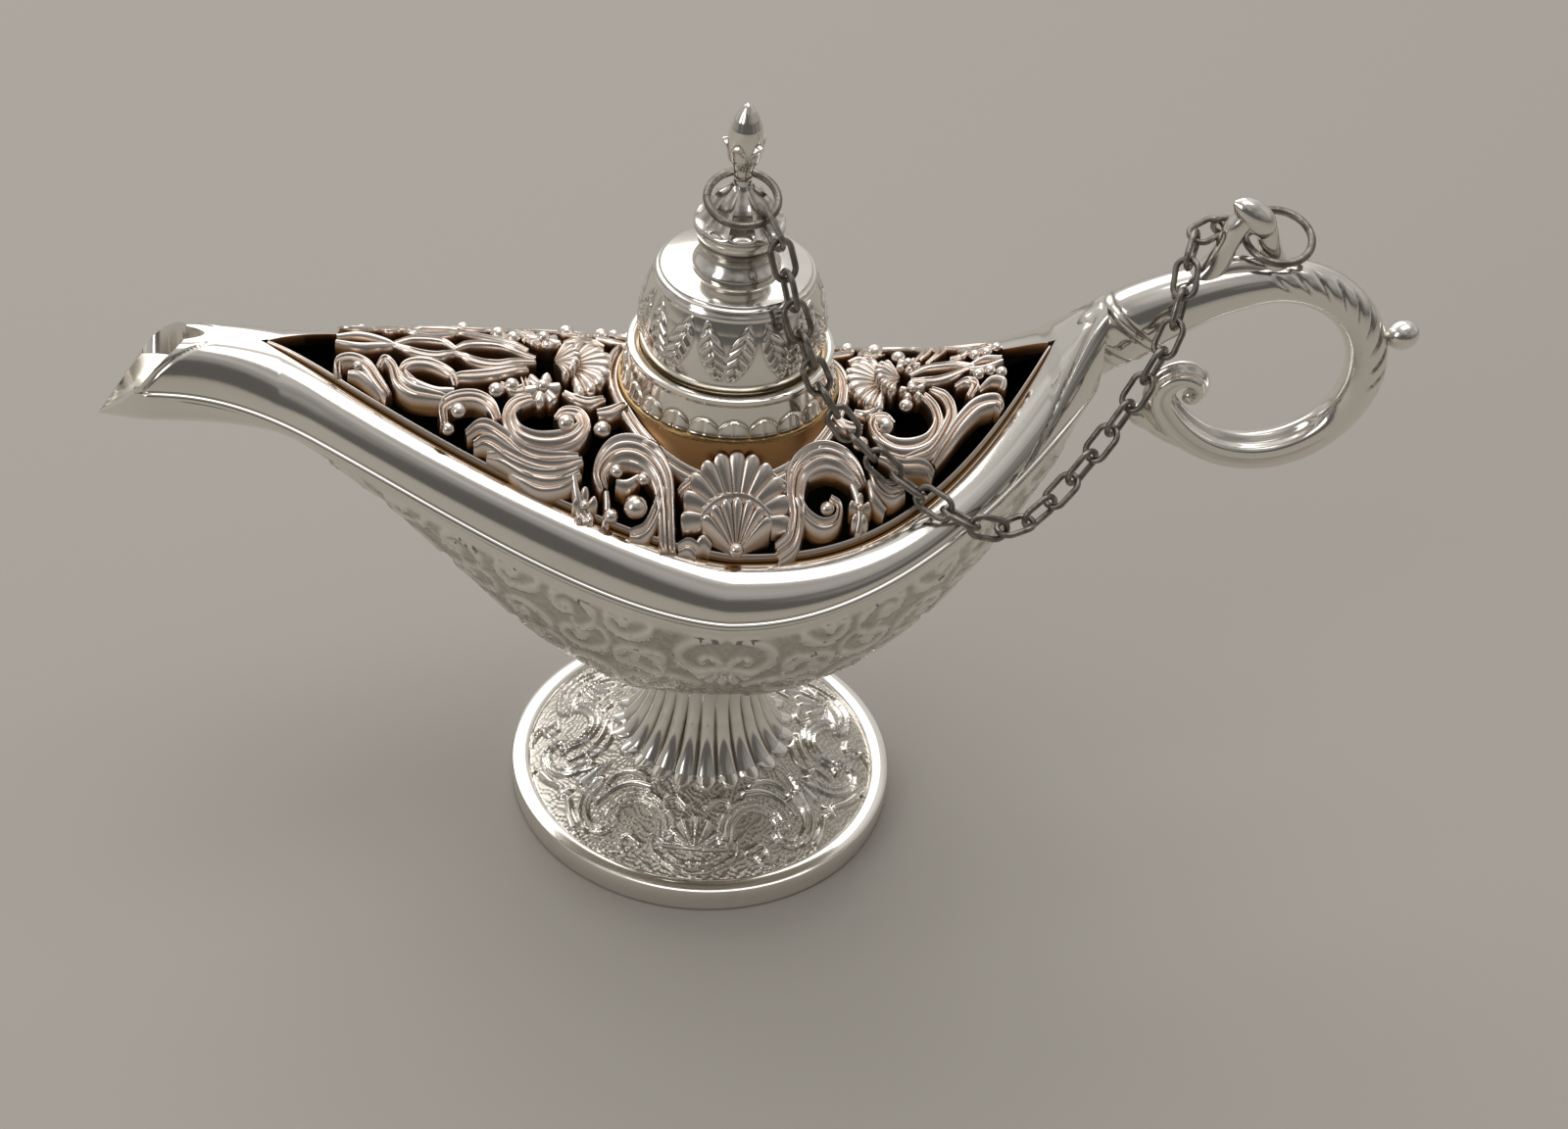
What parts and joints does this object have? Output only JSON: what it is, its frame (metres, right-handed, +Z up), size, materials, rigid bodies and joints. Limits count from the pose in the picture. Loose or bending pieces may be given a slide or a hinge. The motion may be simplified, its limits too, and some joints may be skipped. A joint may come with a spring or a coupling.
{
  "type": "genie oil lamp",
  "caption": "Small ornamental genie lamp: footed bowl with beak spout, pierced scroll cover, lift-off bell lid on a chain, and scroll handle.",
  "frame": {"origin": "centre of the foot's underside", "axes": "+Z up, +X towards the handle, spout along -X"},
  "size_m": [0.1396, 0.045, 0.0921],
  "materials": {
    "silver_plate": "polished silver plate on a zinc casting",
    "tarnished_plate": "silver plate with rose and brass tarnish",
    "chain_wire": "dark gunmetal wire",
    "fastener_steel": "plain steel"
  },
  "bodies": {
    "lamp": {"foot": "silver_plate", "foot_screw": "fastener_steel", "bowl": "silver_plate", "rim_frame": "silver_plate", "cover": "tarnished_plate", "collar": "silver_plate", "handle": "silver_plate"},
    "ring_carrier": {"finial_ring": "chain_wire"},
    "lid_group": {"lid": "silver_plate", "finial": "silver_plate", "finial_nut": "fastener_steel"},
    "lug_ring": {"handle_ring": "chain_wire"},
    "link_01": {"chain_link_01": "chain_wire"},
    "link_02": {"chain_link_02": "chain_wire"},
    "link_03": {"chain_link_03": "chain_wire"},
    "link_04": {"chain_link_04": "chain_wire"},
    "link_05": {"chain_link_05": "chain_wire"},
    "link_06": {"chain_link_06": "chain_wire"},
    "link_07": {"chain_link_07": "chain_wire"},
    "link_08": {"chain_link_08": "chain_wire"},
    "link_09": {"chain_link_09": "chain_wire"},
    "link_10": {"chain_link_10": "chain_wire"},
    "link_11": {"chain_link_11": "chain_wire"},
    "link_12": {"chain_link_12": "chain_wire"},
    "link_13": {"chain_link_13": "chain_wire"},
    "link_14": {"chain_link_14": "chain_wire"},
    "link_15": {"chain_link_15": "chain_wire"},
    "link_16": {"chain_link_16": "chain_wire"},
    "link_17": {"chain_link_17": "chain_wire"},
    "link_18": {"chain_link_18": "chain_wire"},
    "link_19": {"chain_link_19": "chain_wire"},
    "link_20": {"chain_link_20": "chain_wire"},
    "link_21": {"chain_link_21": "chain_wire"},
    "link_22": {"chain_link_22": "chain_wire"},
    "link_23": {"chain_link_23": "chain_wire"},
    "link_24": {"chain_link_24": "chain_wire"},
    "link_25": {"chain_link_25": "chain_wire"},
    "link_26": {"chain_link_26": "chain_wire"},
    "link_27": {"chain_link_27": "chain_wire"},
    "link_28": {"chain_link_28": "chain_wire"}
  },
  "joints": [
    {"name": "lid_lift", "type": "slide", "parent": "lamp", "child": "ring_carrier", "axis": [0, 0, 1], "range_m": [0, 0.044]},
    {"name": "lid_turn", "type": "hinge", "parent": "ring_carrier", "child": "lid_group", "pos_m": [0, 0, 0.0627], "axis": [0, 0, 1], "continuous": true},
    {"name": "link_01_swing", "type": "hinge", "parent": "ring_carrier", "child": "link_01", "pos_m": [0.0021, -0.00395, 0.0815], "axis": [0.644, 0.063, 0.7624], "range_deg": [0, 15.89]},
    {"name": "link_02_swing", "type": "hinge", "parent": "link_01", "child": "link_02", "pos_m": [0.00362, -0.00597, 0.07956], "axis": [-0.9527, -0.3022, -0.0314], "range_deg": [0, 27.21]},
    {"name": "link_03_swing", "type": "hinge", "parent": "link_02", "child": "link_03", "pos_m": [0.00448, -0.00707, 0.07665], "axis": [-0.3891, 0.4886, -0.781], "range_deg": [0, 35.03]},
    {"name": "link_04_swing", "type": "hinge", "parent": "link_03", "child": "link_04", "pos_m": [0.00528, -0.00809, 0.07369], "axis": [0.7748, 0.5354, -0.3361], "range_deg": [0, 43.94]},
    {"name": "link_05_swing", "type": "hinge", "parent": "link_04", "child": "link_05", "pos_m": [0.00634, -0.00921, 0.07085], "axis": [0.9554, -0.249, 0.1585], "range_deg": [0, 16.89]},
    {"name": "link_06_swing", "type": "hinge", "parent": "link_05", "child": "link_06", "pos_m": [0.00745, -0.00976, 0.06787], "axis": [-0.2345, 0.9036, -0.3585], "range_deg": [0, 2.52]},
    {"name": "link_07_swing", "type": "hinge", "parent": "link_06", "child": "link_07", "pos_m": [0.00875, -0.01, 0.06491], "axis": [0.0032, 0.9812, -0.1929], "range_deg": [0, 4.37]},
    {"name": "link_08_swing", "type": "hinge", "parent": "link_07", "child": "link_08", "pos_m": [0.01033, -0.0102, 0.0621], "axis": [0.3584, 0.9195, 0.1616], "range_deg": [0, 6.78]},
    {"name": "link_09_swing", "type": "hinge", "parent": "link_08", "child": "link_09", "pos_m": [0.01225, -0.01062, 0.05954], "axis": [0.3463, 0.8748, 0.3389], "range_deg": [0, 9.14]},
    {"name": "link_10_swing", "type": "hinge", "parent": "link_09", "child": "link_10", "pos_m": [0.01453, -0.01145, 0.0574], "axis": [-0.0463, 0.9838, 0.1735], "range_deg": [0, 7.59]},
    {"name": "link_11_swing", "type": "hinge", "parent": "link_10", "child": "link_11", "pos_m": [0.01704, -0.01251, 0.05567], "axis": [-0.1112, 0.9477, 0.2991], "range_deg": [0, 7.12]},
    {"name": "link_12_swing", "type": "hinge", "parent": "link_11", "child": "link_12", "pos_m": [0.01968, -0.01389, 0.05442], "axis": [-0.4137, 0.536, 0.7359], "range_deg": [0, 6.25]},
    {"name": "link_13_swing", "type": "hinge", "parent": "link_12", "child": "link_13", "pos_m": [0.02231, -0.01562, 0.05368], "axis": [-0.8298, -0.2831, -0.4809], "range_deg": [0, 10.24]},
    {"name": "link_14_swing", "type": "hinge", "parent": "link_13", "child": "link_14", "pos_m": [0.02515, -0.01688, 0.05282], "axis": [-0.7937, 0.0681, -0.6044], "range_deg": [0, 9.13]},
    {"name": "lug_ring_swing", "type": "hinge", "parent": "lamp", "child": "lug_ring", "pos_m": [0.05285, 0, 0.07712], "axis": [0, -1, 0], "range_deg": [0, 3.92]},
    {"name": "link_28_swing", "type": "hinge", "parent": "lug_ring", "child": "link_28", "pos_m": [0.05315, 0.00215, 0.0777], "axis": [0.3693, 0.8318, -0.4143], "range_deg": [0, 20.25]},
    {"name": "link_27_swing", "type": "hinge", "parent": "link_28", "child": "link_27", "pos_m": [0.05, 0.0025, 0.07796], "axis": [-0.2525, 0.5251, -0.8127], "range_deg": [0, 35.34]},
    {"name": "link_26_swing", "type": "hinge", "parent": "link_27", "child": "link_26", "pos_m": [0.04743, 0.00079, 0.07749], "axis": [-0.9017, 0.4312, -0.0325], "range_deg": [0, 44.03]},
    {"name": "link_25_swing", "type": "hinge", "parent": "link_26", "child": "link_25", "pos_m": [0.04638, -0.0018, 0.07592], "axis": [-0.3995, -0.2525, 0.8813], "range_deg": [0, 30.62]},
    {"name": "link_24_swing", "type": "hinge", "parent": "link_25", "child": "link_24", "pos_m": [0.04592, -0.00401, 0.07361], "axis": [0.8452, -0.3758, 0.38], "range_deg": [0, 26.96]},
    {"name": "link_23_swing", "type": "hinge", "parent": "link_24", "child": "link_23", "pos_m": [0.04522, -0.0056, 0.07089], "axis": [0.9516, 0.2602, -0.1635], "range_deg": [0, 9.72]},
    {"name": "link_22_swing", "type": "hinge", "parent": "link_23", "child": "link_22", "pos_m": [0.04416, -0.00664, 0.06802], "axis": [0.9369, -0.0743, 0.3417], "range_deg": [0, 2.67]},
    {"name": "link_21_swing", "type": "hinge", "parent": "link_22", "child": "link_21", "pos_m": [0.0428, -0.00754, 0.06523], "axis": [0.9802, -0.1837, -0.0739], "range_deg": [0, 3.99]},
    {"name": "link_20_swing", "type": "hinge", "parent": "link_21", "child": "link_20", "pos_m": [0.04121, -0.00869, 0.06266], "axis": [0.9536, 0.3003, -0.0213], "range_deg": [0, 2.13]},
    {"name": "link_19_swing", "type": "hinge", "parent": "link_20", "child": "link_19", "pos_m": [0.03948, -0.00987, 0.0602], "axis": [0.8345, 0.5351, 0.1313], "range_deg": [0, 1.94]},
    {"name": "link_18_swing", "type": "hinge", "parent": "link_19", "child": "link_18", "pos_m": [0.03764, -0.011, 0.05778], "axis": [0.9963, 0.0747, -0.0416], "range_deg": [0, 2.88]},
    {"name": "link_17_swing", "type": "hinge", "parent": "link_18", "child": "link_17", "pos_m": [0.03569, -0.01223, 0.05552], "axis": [0.9593, -0.2792, -0.0423], "range_deg": [0, 4.24]},
    {"name": "link_16_swing", "type": "hinge", "parent": "link_17", "child": "link_16", "pos_m": [0.03354, -0.01364, 0.05355], "axis": [0.8724, -0.4796, -0.0946], "range_deg": [0, 6.63]},
    {"name": "link_15_swing", "type": "hinge", "parent": "link_16", "child": "link_15", "pos_m": [0.03109, -0.01519, 0.05216], "axis": [0.6381, -0.4134, -0.6495], "range_deg": [0, 10.88]}
  ],
  "couplings": [
    {"joint": "link_01_swing", "follows": "lid_lift", "rad_per_m": 6.3049},
    {"joint": "link_02_swing", "follows": "lid_lift", "rad_per_m": 10.792},
    {"joint": "link_03_swing", "follows": "lid_lift", "rad_per_m": 13.895},
    {"joint": "link_04_swing", "follows": "lid_lift", "rad_per_m": 17.431},
    {"joint": "link_05_swing", "follows": "lid_lift", "rad_per_m": 6.6998},
    {"joint": "link_06_swing", "follows": "lid_lift", "rad_per_m": 1.0004},
    {"joint": "link_07_swing", "follows": "lid_lift", "rad_per_m": 1.7326},
    {"joint": "link_08_swing", "follows": "lid_lift", "rad_per_m": 2.6886},
    {"joint": "link_09_swing", "follows": "lid_lift", "rad_per_m": 3.6242},
    {"joint": "link_10_swing", "follows": "lid_lift", "rad_per_m": 3.0106},
    {"joint": "link_11_swing", "follows": "lid_lift", "rad_per_m": 2.825},
    {"joint": "link_12_swing", "follows": "lid_lift", "rad_per_m": 2.4802},
    {"joint": "link_13_swing", "follows": "lid_lift", "rad_per_m": 4.0622},
    {"joint": "link_14_swing", "follows": "lid_lift", "rad_per_m": 3.6209},
    {"joint": "lug_ring_swing", "follows": "lid_lift", "rad_per_m": 1.5533},
    {"joint": "link_28_swing", "follows": "lid_lift", "rad_per_m": 8.0341},
    {"joint": "link_27_swing", "follows": "lid_lift", "rad_per_m": 14.019},
    {"joint": "link_26_swing", "follows": "lid_lift", "rad_per_m": 17.465},
    {"joint": "link_25_swing", "follows": "lid_lift", "rad_per_m": 12.144},
    {"joint": "link_24_swing", "follows": "lid_lift", "rad_per_m": 10.693},
    {"joint": "link_23_swing", "follows": "lid_lift", "rad_per_m": 3.8556},
    {"joint": "link_22_swing", "follows": "lid_lift", "rad_per_m": 1.0591},
    {"joint": "link_21_swing", "follows": "lid_lift", "rad_per_m": 1.5812},
    {"joint": "link_20_swing", "follows": "lid_lift", "rad_per_m": 0.84644},
    {"joint": "link_19_swing", "follows": "lid_lift", "rad_per_m": 0.76816},
    {"joint": "link_18_swing", "follows": "lid_lift", "rad_per_m": 1.1434},
    {"joint": "link_17_swing", "follows": "lid_lift", "rad_per_m": 1.6807},
    {"joint": "link_16_swing", "follows": "lid_lift", "rad_per_m": 2.6301},
    {"joint": "link_15_swing", "follows": "lid_lift", "rad_per_m": 4.317}
  ]
}
